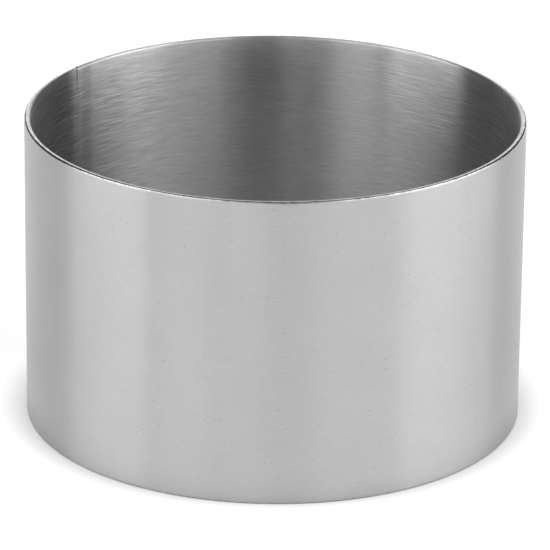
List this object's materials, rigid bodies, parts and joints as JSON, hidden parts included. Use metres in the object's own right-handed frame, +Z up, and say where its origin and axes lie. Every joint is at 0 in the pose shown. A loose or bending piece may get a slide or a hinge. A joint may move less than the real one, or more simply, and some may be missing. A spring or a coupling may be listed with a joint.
{
  "type": "food ring",
  "caption": "Plain round stainless steel food ring, open at the top and bottom, with rounded rims, for shaping, stacking and cutting food.",
  "frame": {"origin": "middle of the ring at the plane of the lower rim, which it stands on", "axes": "+Z up along the ring's axis, -Y towards the front that the picture shows, +X to the right"},
  "size_m": [0.08, 0.08, 0.05],
  "materials": {
    "sheet_steel": "satin outside, brushed round the inside, polished on the rims",
    "weld_steel": "ground flush and brushed"
  },
  "bodies": {
    "root": {"ring_band": "sheet_steel", "weld_seam": "weld_steel"}
  },
  "joints": []
}
